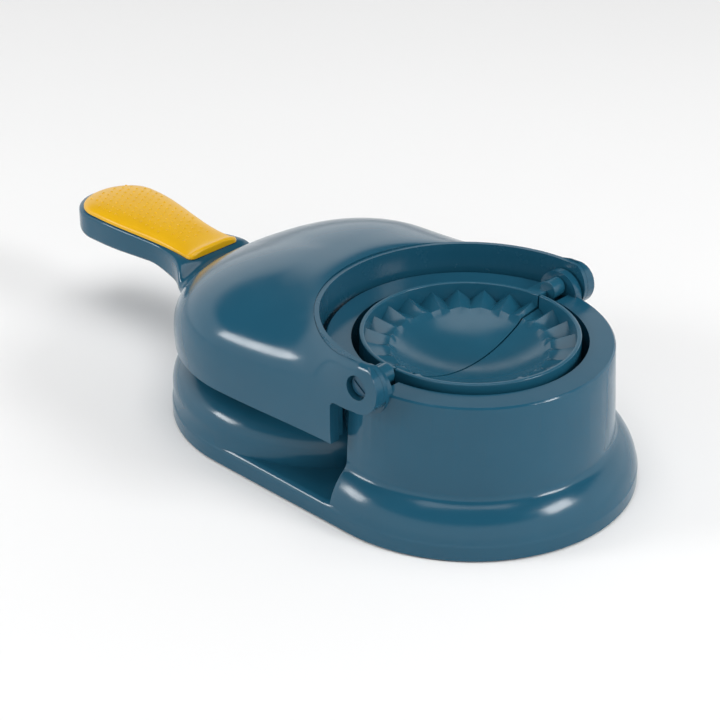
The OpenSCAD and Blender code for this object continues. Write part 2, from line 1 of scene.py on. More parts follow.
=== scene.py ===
"""Looks of a two-in-one hand press for filled dough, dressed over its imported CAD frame.

The press is a round tower with a folding pleated mould, a low pedestal for
pressing wrappers and a domed lever with a yellow grip. Shapes are worked out in
millimetres about the tower's axis, with X towards the tower's front, and moved
into the frame, in metres, when a mesh is made.
"""

from __future__ import annotations

import json
import logging
import math
from collections.abc import Iterator
from contextlib import contextmanager
from dataclasses import dataclass, field, replace
from enum import Enum
from typing import Any

import bmesh
import bpy
import numpy as np
from mathutils import Matrix, Vector

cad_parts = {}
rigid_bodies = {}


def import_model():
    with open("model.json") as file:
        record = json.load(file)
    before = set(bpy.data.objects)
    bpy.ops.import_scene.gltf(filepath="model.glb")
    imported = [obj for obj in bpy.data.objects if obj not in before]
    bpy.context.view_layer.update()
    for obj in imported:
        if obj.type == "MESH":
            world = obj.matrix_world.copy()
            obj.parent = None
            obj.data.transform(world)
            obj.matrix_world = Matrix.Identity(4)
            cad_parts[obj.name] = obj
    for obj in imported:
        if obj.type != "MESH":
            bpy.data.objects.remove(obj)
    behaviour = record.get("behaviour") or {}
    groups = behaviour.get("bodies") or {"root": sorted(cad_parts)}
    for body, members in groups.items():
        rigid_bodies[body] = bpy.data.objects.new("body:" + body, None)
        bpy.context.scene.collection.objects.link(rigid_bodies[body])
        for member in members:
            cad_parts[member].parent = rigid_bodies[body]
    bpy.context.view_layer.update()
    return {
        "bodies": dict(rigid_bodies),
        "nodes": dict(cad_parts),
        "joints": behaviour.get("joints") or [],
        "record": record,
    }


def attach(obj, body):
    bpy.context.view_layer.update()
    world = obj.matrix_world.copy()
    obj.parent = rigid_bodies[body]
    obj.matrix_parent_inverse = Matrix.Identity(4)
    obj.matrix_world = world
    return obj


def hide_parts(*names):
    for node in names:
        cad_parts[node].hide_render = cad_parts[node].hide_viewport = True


LOG = logging.getLogger("press")
MM = 0.001
# the tower's axis in the frame, the hinge's height and, from the tower, the pedestal's axis
TOWER_X = 72.45
HINGE_Z = 55.8
PEDESTAL_X = -67.2
# points nearer than this, in metres, are one, and faces turned by less than this are flat
WELD = 2e-6
FLAT = math.radians(0.5)
# the body's colour, and the one that clouds it
DEEP, SHADE = "1b5067", "184a60"
QUARTER = np.pi / 2
Array = np.ndarray
Material = bpy.types.Material
Vec3 = tuple[float, float, float]


class Body(Enum):
    """The rigid bodies of the press."""

    BASE = "base"
    LEVER = "lever"
    FOLD = "fold_half"


class Slot(Enum):
    """Material slots of the record."""

    SHELL = "blue_shell"
    MOULD = "blue_mould"
    INNER = "blue_inner"
    PIN = "blue_pin"
    GRIP = "grip_yellow"
    FOOT = "foot_rubber"
    SCREW = "screw_steel"


# ------------------------------------------------------------------ shape helpers
def limit(t: Array) -> Array:
    """Value held between 0 and 1."""
    return np.clip(t, 0.0, 1.0)


def ease(t: Array) -> Array:
    """Smooth step: 3 t squared less 2 t cubed, held between 0 and 1."""
    u = limit(t)
    return u * u * (3 - 2 * u)


def mix(a: Any, b: Any, t: Any) -> Any:
    """Straight blend from a to b."""
    return a + (b - a) * t


def bezier(a: float, b: float, c: float, d: float, t: Array) -> Array:
    """Cubic Bezier value: the four controls weighted by the Bernstein polynomials of t."""
    u = 1 - t
    return a * u**3 + 3 * b * t * u**2 + 3 * c * t**2 * u + d * t**3


def power(v: Array, p: Array) -> Array:
    """Superellipse term: v to the power 2/p, with v's sign kept."""
    return np.sign(v) * np.abs(v) ** (2 / p)


def raised(plan: Array, z: Array) -> Array:
    """Points in space over plan points, from a height for each or for each row."""
    return np.concatenate([plan, np.broadcast_to(z, plan.shape[:-1])[..., None]], axis=-1)


def running_length(points: Array) -> Array:
    """Length from each row's first point along its polyline, shape (rows, samples)."""
    step = np.linalg.norm(np.diff(points, axis=1), axis=2)
    return np.concatenate([np.zeros((len(points), 1)), np.cumsum(step, axis=1)], axis=1)


def resample(points: Array, shares: Array) -> Array:
    """New points along each row's polyline.

    Each row's running length is shifted by its own offset, so that one
    interpolation over all rows at once gives every new point.

    Args:
        points: Polylines, shape (rows, samples, 3).
        shares: Shares of each row's length, from 0 to 1, shape (rows, n) or (n,).

    Returns:
        Points at those shares, shape (rows, n, 3).
    """
    run = running_length(points)
    total = np.maximum(run[:, -1:], 1e-9)
    offset = 2.0 * np.arange(len(points))[:, None]
    known = (run / total + offset).ravel()
    wanted = (np.broadcast_to(shares, (len(points), np.shape(shares)[-1])) + offset).ravel()
    parts = [np.interp(wanted, known, points[..., k].ravel()) for k in range(3)]
    return np.stack(parts, axis=1).reshape(len(points), -1, 3)


def loop_faces(rows: int, cols: int) -> Array:
    """Quads between closed loops side by side, whose points are numbered loop by loop.

    Args:
        rows: Number of loops.
        cols: Points in each loop.

    Returns:
        Point numbers, shape (quads, 4).
    """
    here = np.arange(rows - 1)[:, None] * cols
    c = np.arange(cols)[None, :]
    after = (c + 1) % cols
    quads = (here + c, here + after, here + cols + after, here + cols + c)
    return np.stack(quads, axis=-1).reshape(-1, 4)


@dataclass
class Surface:
    """A set of points with faces, in millimetres about the tower's axis."""

    points: Array
    faces: list[Any]

    @staticmethod
    def tube(loops: Array) -> Surface:
        """Skin over closed loops, with a polygon at each end.

        Args:
            loops: Points, shape (rows, cols, 3).

        Returns:
            The closed surface.
        """
        rows, n = loops.shape[:2]
        last = (rows - 1) * n
        faces = loop_faces(rows, n).tolist()
        faces += [list(range(n)), list(range(last + n - 1, last - 1, -1))]
        return Surface(loops.reshape(-1, 3), faces)

    @staticmethod
    def hinge_bar(radius: float, y_from: float, y_to: float, steps: int) -> Surface:
        """Round bar about the hinge's line.

        Args:
            radius: Its radius.
            y_from: Side distance of one end.
            y_to: Side distance of the other.
            steps: Its sides.

        Returns:
            The closed bar.
        """
        angle = np.linspace(0, 2 * np.pi, steps + 1)[:-1]
        ring = np.stack([radius * np.cos(angle), 0 * angle, HINGE_Z + radius * np.sin(angle)], 1)
        return Surface.tube(np.stack([ring + (0, y_from, 0), ring + (0, y_to, 0)]))

    def joined(self, other: Surface) -> Surface:
        """This surface and another as one set of points and faces."""
        moved = [[i + len(self.points) for i in face] for face in other.faces]
        return Surface(np.concatenate([self.points, other.points]), self.faces + moved)

    def placed(self) -> Array:
        """Its points in the frame, in metres."""
        return (self.points + (TOWER_X, 0, 0)) * MM


# ------------------------------------------------------------------ pieces
@dataclass(frozen=True)
class Dress:
    """What makes a piece of a mesh.

    Attributes:
        body: Body that carries it.
        slot: Material slot that it belongs to.
        material: Its material.
        sharp: Angle in degrees over which an edge is shaded sharp.
        rounding: Width in millimetres of the rounding on edges, or 0.
        rounded_from: Angle in degrees over which an edge is rounded.
        segments: Segments across the rounding.
        replaces: CAD nodes that it stands for.
    """

    body: Body
    slot: Slot
    material: Material
    sharp: float = 30.0
    rounding: float = 0.0
    rounded_from: float = 35.0
    segments: int = 2
    replaces: tuple[str, ...] = ()


@contextmanager
def editing(mesh: bpy.types.Mesh) -> Iterator[bmesh.types.BMesh]:
    """Opens a mesh for editing and writes it back at the end.

    Args:
        mesh: The mesh.

    Yields:
        Its editable form.
    """
    work = bmesh.new()
    work.from_mesh(mesh)
    yield work
    work.to_mesh(mesh)
    work.free()


def add_object(name: str, data: bpy.types.ID) -> bpy.types.Object:
    """New object in the scene.

    Args:
        name: Its name.
        data: Its mesh, light or camera.

    Returns:
        The object.
    """
    made = bpy.data.objects.new(name, data)
    bpy.context.scene.collection.objects.link(made)
    return made


def finish_piece(mesh: bpy.types.Mesh, dress: Dress) -> bpy.types.Object:
    """Makes a piece of a mesh that has the piece's name and lies in the frame.

    Args:
        mesh: The mesh.
        dress: What the piece is dressed with.

    Returns:
        The new object.
    """
    mesh.materials.clear()
    mesh.materials.append(dress.material)
    mesh.shade_smooth()
    mesh.set_sharp_from_angle(angle=math.radians(dress.sharp))
    piece = add_object(mesh.name, mesh)
    if dress.rounding > 0:
        bevel = piece.modifiers.new("edge_rounding", "BEVEL")
        bevel.width = dress.rounding * MM
        bevel.segments = dress.segments
        bevel.limit_method = "ANGLE"
        bevel.angle_limit = math.radians(dress.rounded_from)
        bevel.harden_normals = True
    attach(piece, dress.body.value)
    if dress.replaces:
        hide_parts(*dress.replaces)
    LOG.info("%s: %d faces on %s", mesh.name, len(mesh.polygons), dress.body.value)
    return piece


def make_piece(name: str, surface: Surface, dress: Dress) -> bpy.types.Object:
    """Makes a piece of a surface.

    Args:
        name: Piece name.
        surface: Shape in millimetres about the tower's axis.
        dress: What the piece is dressed with.

    Returns:
        The new object.
    """
    mesh = bpy.data.meshes.new(name)
    mesh.from_pydata(surface.placed(), [], surface.faces)
    with editing(mesh) as work:
        bmesh.ops.remove_doubles(work, verts=work.verts, dist=WELD)
        bmesh.ops.dissolve_degenerate(work, dist=WELD / 2, edges=work.edges)
        bmesh.ops.recalc_face_normals(work, faces=work.faces)
    return finish_piece(mesh, dress)


def dress_copy(frame: dict[str, Any], node: str, name: str, dress: Dress) -> bpy.types.Object:
    """Copy of an exact CAD node with its sharp edges rounded, which stands for the node.

    The copy's loose triangles are merged and its flat faces joined first, so
    that the rounding runs along clean edges.

    Args:
        node: CAD node.
        name: Piece name.
        dress: What the piece is dressed with.

    Returns:
        The new object.
    """
    mesh = frame["nodes"][node].data.copy()
    mesh.name = name
    if "sharp_edge" in mesh.attributes:
        mesh.attributes.remove(mesh.attributes["sharp_edge"])
    with editing(mesh) as work:
        bmesh.ops.remove_doubles(work, verts=work.verts, dist=WELD)
        parts = {"verts": work.verts, "edges": work.edges, "delimit": {"NORMAL"}}
        bmesh.ops.dissolve_limit(work, angle_limit=FLAT, **parts)
    return finish_piece(mesh, replace(dress, replaces=(node,)))


def paint(frame: dict[str, Any], material: Material, *nodes: str) -> None:
    """Gives CAD nodes that are shown as they are their material.

    Args:
        material: Their material.
        *nodes: The nodes.
    """
    for node in nodes:
        data = frame["nodes"][node].data
        data.materials.clear()
        data.materials.append(material)
        LOG.info("%s: CAD node, %s", node, material.name)


# ------------------------------------------------------------------ materials
def linear(colour: str) -> tuple[float, float, float, float]:
    """Linear colour of an sRGB hex value.

    Args:
        colour: Six hex digits, such as 2b5c72.

    Returns:
        Red, green and blue from 0 to 1, and full alpha.
    """
    parts = [int(colour[i : i + 2], 16) / 255 for i in (0, 2, 4)]
    low = [c / 12.92 if c <= 0.04045 else ((c + 0.055) / 1.055) ** 2.4 for c in parts]
    return (low[0], low[1], low[2], 1.0)


def add_node(
    tree: bpy.types.NodeTree, kind: str, links: dict[Any, Any] | None = None, **settings: Any
) -> Any:
    """Adds a node to a tree.

    Args:
        tree: Node tree.
        kind: Blender's node type name.
        links: Input names or numbers with a value or an output socket for each.
        **settings: Properties of the node.

    Returns:
        The node.
    """
    node = tree.nodes.new(kind)
    for key, value in settings.items():
        setattr(node, key, value)
    for key, value in (links or {}).items():
        if isinstance(value, bpy.types.NodeSocket):
            tree.links.new(value, node.inputs[key])
        else:
            node.inputs[key].default_value = value
    return node


@dataclass
class MaterialTree:
    """A material's node tree, drawn in object coordinates, with its usual steps."""

    name: str
    made: Material = field(init=False)
    tree: bpy.types.NodeTree = field(init=False)
    place: bpy.types.NodeSocket = field(init=False)

    def __post_init__(self) -> None:
        """Makes the material with an empty tree."""
        self.made = bpy.data.materials.new(self.name)
        self.made.use_nodes = True
        self.tree = self.made.node_tree
        self.tree.nodes.clear()
        self.place = add_node(self.tree, "ShaderNodeTexCoord").outputs["Object"]

    def noise(self, size_mm: float, detail: float = 2.0, **inputs: Any) -> Any:
        """Noise value with patches of some size in millimetres."""
        links = {"Vector": self.place, "Scale": 1 / (size_mm * MM), "Detail": detail, **inputs}
        return add_node(self.tree, "ShaderNodeTexNoise", links).outputs["Fac"]

    def tint(self, cloud: Any, first: str, second: str) -> Any:
        """Colour between two hex values by a noise value."""
        links = {0: cloud, 6: linear(first), 7: linear(second)}
        return add_node(self.tree, "ShaderNodeMix", links, data_type="RGBA").outputs[2]

    def spread(self, value: Any, low: float, high: float, **inputs: Any) -> Any:
        """A value spread over a range."""
        links = {"Value": value, "To Min": low, "To Max": high, **inputs}
        return add_node(self.tree, "ShaderNodeMapRange", links).outputs["Result"]

    def bump(self, height: Any, strength: float, depth_mm: float, **inputs: Any) -> Any:
        """Normal tilted by a height."""
        links = {"Height": height, "Strength": strength, "Distance": depth_mm * MM, **inputs}
        return add_node(self.tree, "ShaderNodeBump", links).outputs["Normal"]

    def finish(self, inputs: dict[str, Any]) -> Material:
        """Ends the tree with its shader.

        Args:
            inputs: The shader's inputs.

        Returns:
            The material.
        """
        shader = add_node(self.tree, "ShaderNodeBsdfPrincipled", inputs)
        add_node(self.tree, "ShaderNodeOutputMaterial", {"Surface": shader.outputs["BSDF"]})
        return self.made


@dataclass(frozen=True)
class MouldedAbs:
    """ABS moulded in a polished tool: deep even colour, mirror gloss with a slight waviness.

    The eye sees long soft reflections that bend a little over sink marks, and a
    gloss that handling has made a little uneven. Streaks are the fine level
    lines that a turned tool leaves.
    """

    name: str
    colour: str
    shade: str
    roughness: float
    wave_mm: float = 22.0
    wave_depth: float = 0.05
    handled_mm: float = 7.0
    streaks: float = 0.0
    streak_mm: float = 26.0
    streak_squeeze: float = 22.0
    ior: float = 1.41

    def material(self) -> Material:
        """Builds the finish's node tree.

        Returns:
            The material.
        """
        work = MaterialTree(self.name)
        cloud = work.noise(self.wave_mm)
        handled = work.noise(self.handled_mm, 4.0, Roughness=0.6)
        low, high = self.roughness * 0.8, self.roughness * 1.35
        gloss = work.spread(handled, low, high, **{"From Min": 0.3, "From Max": 0.8})
        normal = work.bump(cloud, self.wave_depth, 1.0)
        if self.streaks > 0:
            squeeze = {"Vector": work.place, "Scale": (1.0, 1.0, self.streak_squeeze)}
            level = add_node(work.tree, "ShaderNodeMapping", squeeze).outputs["Vector"]
            lines = work.noise(self.streak_mm, 3.0, Vector=level)
            normal = work.bump(lines, self.streaks, 0.3, Normal=normal)
        tint = work.tint(cloud, self.colour, self.shade)
        return work.finish(
            {"Base Color": tint, "Roughness": gloss, "IOR": self.ior, "Normal": normal}
        )


@dataclass(frozen=True)
class GripPolypropylene:
    """Polypropylene moulded in a satin tool: warm yellow with a broad soft shine.

    The eye sees a slightly waxy surface, a touch browner where hands have been.
    The tool's 0.2 mm spark grain is drawn at 0.5 mm so that it shows.
    """

    name: str
    colour: str
    worn: str
    roughness: float = 0.3
    ior: float = 1.38
    worn_mm: float = 14.0
    grain_mm: float = 0.5

    def material(self) -> Material:
        """Builds the finish's node tree.

        Returns:
            The material.
        """
        work = MaterialTree(self.name)
        tint = work.tint(work.noise(self.worn_mm, 3.0), self.colour, self.worn)
        normal = work.bump(work.noise(self.grain_mm, 1.0), 0.06, 0.05)
        return work.finish(
            {"Base Color": tint, "Roughness": self.roughness, "IOR": self.ior, "Normal": normal}
        )


@dataclass(frozen=True)
class FootRubber:
    """Moulded rubber: near black, matt, with a dusty bloom."""

    name: str = "moulded_rubber"
    colour: str = "26272a"
    bloom: str = "3a3b3d"
    bloom_mm: float = 3.0
    roughness: float = 0.82

    def material(self) -> Material:
        """Builds the finish's node tree.

        Returns:
            The material.
        """
        work = MaterialTree(self.name)
        tint = work.tint(work.noise(self.bloom_mm, 4.0), self.colour, self.bloom)
        return work.finish({"Base Color": tint, "Roughness": self.roughness})


@dataclass(frozen=True)
class ZincSteel:
    """Zinc-plated screw steel: bright grey metal with a faint bluish cloudiness."""

    name: str = "zinc_plated_steel"
    colour: str = "b9bcc0"
    cloud: str = "9da3ab"
    cloud_mm: float = 1.2

    def material(self) -> Material:
        """Builds the finish's node tree.

        Returns:
            The material.
        """
        work = MaterialTree(self.name)
        cloud = work.noise(self.cloud_mm, 3.0)
        tint, gloss = work.tint(cloud, self.colour, self.cloud), work.spread(cloud, 0.25, 0.4)
        return work.finish({"Base Color": tint, "Roughness": gloss, "Metallic": 1.0})


def made_of(finish: Any) -> Any:
    """Dataclass field whose default is the material of a finish."""
    return field(default_factory=finish.material)


@dataclass(frozen=True)
class Palette:
    """All materials of the press, each made once."""

    lever: Material = made_of(MouldedAbs("polished_abs_lever", DEEP, SHADE, 0.16))
    liner: Material = made_of(MouldedAbs("polished_abs_liner", DEEP, SHADE, 0.24, streaks=0.1))
    base: Material = made_of(MouldedAbs("polished_abs_base", DEEP, SHADE, 0.17))
    mould: Material = made_of(MouldedAbs("polished_abs_mould", "1d556c", "194d63", 0.2, 12.0))
    inner: Material = made_of(MouldedAbs("satin_abs_inner", DEEP, SHADE, 0.34))
    pin: Material = made_of(MouldedAbs("polished_abs_pin", "1b495e", "18425a", 0.2, 6.0))
    grip: Material = made_of(GripPolypropylene("satin_polypropylene_grip", "dcab08", "d4a004"))
    foot: Material = made_of(FootRubber())
    screw: Material = made_of(ZincSteel())


# ------------------------------------------------------------------ dome
@dataclass
class Columns:
    """Plan lines of the dome's sections on one side, from the rear middle to the ear's front.

    Attributes:
        start: Starts on the round cut, shape (n, 2).
        way: Unit directions outwards, shape (n, 2).
        low: Lowest height of each section.
        hollow: True where the section is hollow inside.
    """

    start: Array
    way: Array
    low: Array
    hollow: Array

    def plan(self, distance: Array) -> Array:
        """Plan points at distances along each line, from distances of shape (n, samples)."""
        return self.start[:, None] + self.way[:, None] * distance[..., None]


@dataclass
class Dome:
    """The lever's dome: its skin and wall, the round cut, the skirts and the ears.

    The steps are counts of samples: top and low ones down each section's
    outside, and across ones over its foot. Along a plan line the samples are
    crowded towards the wall, where a section bends most.
    """

    dome_r: float = 59.1
    ear_y: float = 57.1
    skirt_front: float = 12.1
    dome_top: float = 64.7
    dome_mid: float = 34.4
    dome_rim: float = 29.2
    crown_slope: float = 0.053
    cut_top: float = 63.9
    cut_r: float = 52.4
    shell_cut_r: float = 54.2
    wall: float = 2.3
    side_power: float = 2.8
    rear_power: float = 1.9
    square_early: float = 1.1
    square_late: float = 6.0
    blend_l: float = 3.6
    blend_z: float = 52.1
    blend_rise: float = 8.0
    rim_draft: float = 0.3
    ear_r: float = 9.4
    ear_end: float = math.radians(88.2)
    ear_hole_r: float = 4.4
    hole_from: float = 50.0
    hole_to: float = 62.0
    notch_z: float = 46.0
    notch_round: float = 2.2
    fan_end: float = math.radians(60)
    solid_x: float = -14.4
    straight_x: float = -27.1
    straight_l: float = 11.0
    roof_x: float = -9.2
    roof_l: float = 6.0
    top_steps: int = 80
    low_steps: int = 20
    across_steps: int = 5
    cut_steps: int = 9
    plan_samples: int = 700
    crowding: float = 2.6
    sharp: float = 40.0
    edge: float = 0.45

    @property
    def skirt_low(self) -> float:
        """Height where the skirt's front edge begins, under the notch's round corner."""
        return self.notch_z - self.notch_round

    def half_width(self, x: Array) -> Array:
        """Half-width in front of the pedestal's axis: eased from the widest to the ears."""
        share = (x - PEDESTAL_X) / (-self.skirt_front - PEDESTAL_X)
        return mix(self.dome_r, self.ear_y, ease(share))

    def wall_share(self, x: Array, y: Array, inset: float) -> tuple[Array, Array]:
        """How far plan points lie from the middle to the wall.

        In front of the pedestal's axis the share is |y| over the half-width. Behind
        it, it is the distance from the axis over the dome's radius.

        Args:
            x: Distances forwards.
            y: Distances sideways.
            inset: Depth under the outside, or 0.

        Returns:
            The shares, 1 at the wall, and the superellipse powers there.
        """
        dx = x - PEDESTAL_X
        t = limit(dx / -PEDESTAL_X)
        front = np.abs(y) / (self.half_width(x) - inset)
        rho = np.hypot(dx, y)
        turn = np.where(rho > 1e-6, (dx / np.maximum(rho, 1e-6)) ** 2, 0.0)
        behind = dx < 0
        share = np.where(behind, rho / (self.dome_r - inset), front)
        front_power = self.side_power + self.square_early * t**2 + self.square_late * t**8
        shape = np.where(behind, mix(self.side_power, self.rear_power, turn), front_power)
        return share, shape

    def height(self, x: Array, y: Array, inset: float) -> Array:
        """Height of the dome over plan points.

        A superellipse from the widest level up to the sloping crown, led to the
        level of the cut's edge by a term that dies away from the round cut.

        Args:
            x: Distances forwards.
            y: Distances sideways.
            inset: Depth under the outside, or 0.

        Returns:
            The heights.
        """
        share, shape = self.wall_share(x, y, inset)
        crown = self.dome_top - inset + self.crown_slope * (x - PEDESTAL_X)
        bulge = np.maximum(1 - np.minimum(share, 1) ** shape, 0) ** (1 / shape)
        z = self.dome_mid + (crown - self.dome_mid) * bulge
        level = self.cut_top - inset
        pull = np.where(z > level, 1.0, ease((z - self.blend_z) / self.blend_rise))
        away = np.maximum(0, np.hypot(x, y) - self.cut_r)
        return z - pull * (z - level) * np.exp(-away / self.blend_l)

    def rear_wall_x(self, y: Array, z: Array) -> Array:
        """Where the rear wall lies, by repeated substitution.

        Args:
            y: Side distances.
            z: Heights.

        Returns:
            The places along X.
        """
        x = np.full(np.shape(y), -120.0)
        for _ in range(30):
            dx = x - PEDESTAL_X
            turn = dx**2 / (dx**2 + y**2)
            shape = mix(self.side_power, self.rear_power, turn)
            crown = self.dome_top + self.crown_slope * dx
            up = limit((z - self.dome_mid) / (crown - self.dome_mid))
            down = limit((self.dome_mid - z) / (self.dome_mid - self.dome_rim))
            rho = self.dome_r * (1 - up**shape) ** (1 / shape) - self.rim_draft * down
            x = PEDESTAL_X - np.sqrt(np.maximum(rho**2 - y**2, 0))
        return x

    def reach(self, lines: Columns, inset: float) -> Array:
        """Distance along each plan line from the round cut to the wall, by halving.

        Args:
            lines: The plan lines.
            inset: Depth under the outside, or 0.

        Returns:
            The distances.
        """
        low, high = np.zeros(len(lines.start)), np.full(len(lines.start), 90.0)
        for _ in range(50):
            half = (low + high) / 2
            p = lines.plan(half[:, None])[:, 0]
            out = self.wall_share(p[:, 0], p[:, 1], inset)[0] > 1
            low, high = np.where(out, low, half), np.where(out, half, high)
        return low

    def columns(self) -> Columns:
        """Plan lines: a fan behind, side by side along the skirt, then the notch and the ear.

        Where the wall turns solid and where the skirt ends, two lines share a
        place, so that the section changes there in one step.

        Returns:
            The lines.
        """
        x_fan = -self.shell_cut_r * np.cos(np.linspace(0, self.fan_end, 64))
        x_side = np.linspace(x_fan[-1], self.solid_x, 26)[1:]
        x_rim = np.linspace(self.solid_x, -self.skirt_front, 5)
        turn = np.linspace(0, QUARTER, 7)
        x_round = -self.skirt_front + self.notch_round * (1 - np.cos(turn))
        x_roof = np.linspace(self.roof_x, 0, 14)
        x_ear = self.ear_r * np.sin(np.linspace(0, self.ear_end, 26))[1:]
        x = np.concatenate([x_fan, x_side, x_rim, x_round, x_roof, x_ear])
        start = np.stack([x, np.sqrt(self.shell_cut_r**2 - x**2)], axis=1)
        start[0, 1] = 0
        sideways = ease((x - self.straight_x) / self.straight_l)[:, None]
        way = mix(start / self.shell_cut_r, np.array([0.0, 1.0]), sideways)
        way /= np.linalg.norm(way, axis=1)[:, None]
        n_hollow = len(x_fan) + len(x_side)
        # the notch's roof eases into the underside of the ear
        roof = ease((x_roof + self.roof_l) / self.roof_l)
        low = [
            np.full(n_hollow + len(x_rim), self.dome_rim),
            self.skirt_low + self.notch_round * np.sin(turn),
            mix(self.notch_z, HINGE_Z - self.ear_r, roof),
            HINGE_Z - np.sqrt(np.maximum(self.ear_r**2 - x_ear**2, 0)),
        ]
        return Columns(start, way, np.concatenate(low), np.arange(len(x)) < n_hollow)

    def outer_paths(self, lines: Columns) -> Array:
        """Each section's way over the outside, from the round cut's edge to its lowest point.

        Args:
            lines: The plan lines.

        Returns:
            Dense polylines, shape (n, samples, 3).
        """
        share = 1 - (1 - np.linspace(0, 1, self.plan_samples)) ** self.crowding
        plan = lines.plan(self.reach(lines, 0.0)[:, None] * share)
        z, x0 = self.height(plan[..., 0], plan[..., 1], 0.0), lines.start[:, :1]
        # over the ear the height is held under its round outline
        ear = HINGE_Z + np.sqrt(np.maximum(self.ear_r**2 - x0**2, 0))
        z = np.where(x0 > 0, np.minimum(z, ear), z)
        top = raised(plan, np.maximum(z, np.maximum(lines.low, self.dome_mid)[:, None]))
        drop = np.linspace(0, 1, 40)[1:]
        down = np.repeat(top[:, -1:], len(drop), axis=1)
        # below its widest level the wall leans in by the draft
        lean = np.where(lines.low < self.dome_mid, self.rim_draft, 0.0)[:, None] * drop
        down[..., :2] -= lines.way[:, None] * lean[..., None]
        down[..., 2] = mix(down[..., 2], lines.low[:, None], drop)
        return np.concatenate([top, down], axis=1)

    def outer_side(self, lines: Columns, split: Array) -> Array:
        """The sections' outside, parted at a height of each so that neighbours share points.

        Args:
            lines: The plan lines.
            split: The heights.

        Returns:
            Points, shape (n, steps, 3).
        """
        paths = self.outer_paths(lines)
        run = running_length(paths)
        above = (paths[..., 2] > split[:, None] + 1e-6).sum(axis=1)
        parting = run[np.arange(len(run)), np.minimum(above, run.shape[1] - 1)] / run[:, -1]
        parting = parting[:, None]
        upper = parting * np.linspace(0, 1, self.top_steps + 1)
        lower = mix(parting, 1.0, np.linspace(0, 1, self.low_steps + 1)[1:])
        return resample(paths, np.concatenate([upper, lower], axis=1))

    def inner_side(self, lines: Columns, split: Array, outer: Array) -> Array:
        """The sections' inside, from the outside's lowest point back to the cut's edge.

        A hollow section follows the inner skin. A solid one goes straight across
        its foot and up the cut.

        Args:
            lines: The plan lines.
            split: Heights where the sections are parted.
            outer: Their outside.

        Returns:
            Points, shape (n, steps, 3).
        """
        foot, top = outer[:, -1:, 2], outer[:, :1]
        solid = self.reach(lines, 0.0) / 2
        near = np.where(lines.hollow, self.reach(lines, self.wall), solid)[:, None]
        along = lines.plan(near * np.linspace(1, 0, 160))
        ceiling = self.height(along[..., 0], along[..., 1], self.wall)
        skin = np.concatenate([raised(along[:, :1], foot), raised(along, ceiling), top], axis=1)
        steps = self.across_steps + self.low_steps + self.cut_steps
        skin = resample(skin, np.linspace(0, 1, steps))
        cross = raised(lines.plan(near * np.linspace(1, 0, self.across_steps)), foot)
        lower = mix(foot, split[:, None], np.linspace(0, 1, self.low_steps + 1)[1:])
        upper = mix(split[:, None], top[..., 2], np.linspace(0, 1, self.cut_steps + 1)[1:])
        levels = np.concatenate([lower, upper], axis=1)
        wall = raised(np.repeat(lines.start[:, None], levels.shape[1], axis=1), levels)
        block = np.concatenate([cross, wall], axis=1)
        return np.where(lines.hollow[:, None, None], skin, block)[:, :-1]

    def skin(self) -> Surface:
        """The dome as closed loops side by side, with the skirts' front faces flat.

        Every loop is parted at the height where the skirt's front edge begins, so
        that the loops on both sides of that edge share their points above it.

        Returns:
            The closed surface.
        """
        lines = self.columns()
        split = np.maximum(lines.low, self.skirt_low)
        outer = self.outer_side(lines, split)
        loops = np.concatenate([outer, self.inner_side(lines, split, outer)], axis=1)
        points = np.concatenate([loops[::-1][:-1] * (1, -1, 1), loops])
        rows, cols = points.shape[:2]
        # the skirt's last loop, where a flat face takes the place of a strip of quads
        skirt, middle = int(np.argmax(lines.low > self.dome_rim)) - 1, len(loops) - 1
        strips = loop_faces(rows, cols).reshape(rows - 1, cols, 4)
        strips = np.delete(strips, [middle + skirt, middle - skirt - 1], axis=0)
        faces = strips.reshape(-1, 4).tolist()
        foot = self.top_steps + self.low_steps
        back = foot + self.across_steps
        below = range(self.top_steps, back + self.low_steps)
        edge = range(back, foot, -1)
        for side in (1, -1):
            row = (middle + side * skirt) * cols
            beside = row + side * cols
            faces.append([row + k for k in below] + [beside + k for k in edge])
        faces += [list(range(cols)), list(range((rows - 1) * cols, rows * cols))]
        return Surface(points.reshape(-1, 3), faces)

    def cut_ear_holes(self, shell: bpy.types.Object) -> None:
        """Cuts the round holes over the pins through the ears, before edges are rounded.

        Args:
            shell: The dome.
        """
        near = Surface.hinge_bar(self.ear_hole_r, -self.hole_to, -self.hole_from, 72)
        tube = near.joined(Surface.hinge_bar(self.ear_hole_r, self.hole_from, self.hole_to, 72))
        mesh = bpy.data.meshes.new("ear_hole_cutter")
        mesh.from_pydata(tube.placed(), [], tube.faces)
        cutter = add_object("ear_hole_cutter", mesh)
        with editing(mesh) as work:
            bmesh.ops.recalc_face_normals(work, faces=work.faces)
        cut = shell.modifiers.new("ear_holes", "BOOLEAN")
        cut.operation, cut.solver, cut.object = "DIFFERENCE", "EXACT", cutter
        shell.modifiers.move(len(shell.modifiers) - 1, 0)
        # only the cut is applied, so the rounding is switched off while it is
        for modifier in shell.modifiers:
            modifier.show_viewport = modifier == cut
        graph = bpy.context.evaluated_depsgraph_get()
        graph.update()
        holed = bpy.data.meshes.new_from_object(shell.evaluated_get(graph))
        old, shell.data = shell.data, holed
        shell.modifiers.remove(cut)
        for modifier in shell.modifiers:
            modifier.show_viewport = True
        holed.shade_smooth()
        holed.set_sharp_from_angle(angle=math.radians(self.sharp))
        bpy.data.meshes.remove(old)
        bpy.data.objects.remove(cutter)
        bpy.data.meshes.remove(mesh)

    def build(self, palette: Palette) -> None:
        """Makes the dome and cuts the holes over the pins.

        Args:
            palette: All materials.
        """
        look = (Body.LEVER, Slot.SHELL, palette.lever)
        dress = Dress(*look, self.sharp, self.edge, self.sharp, 3, ("lever_shell",))
        self.cut_ear_holes(make_piece("lever_dome", self.skin(), dress))


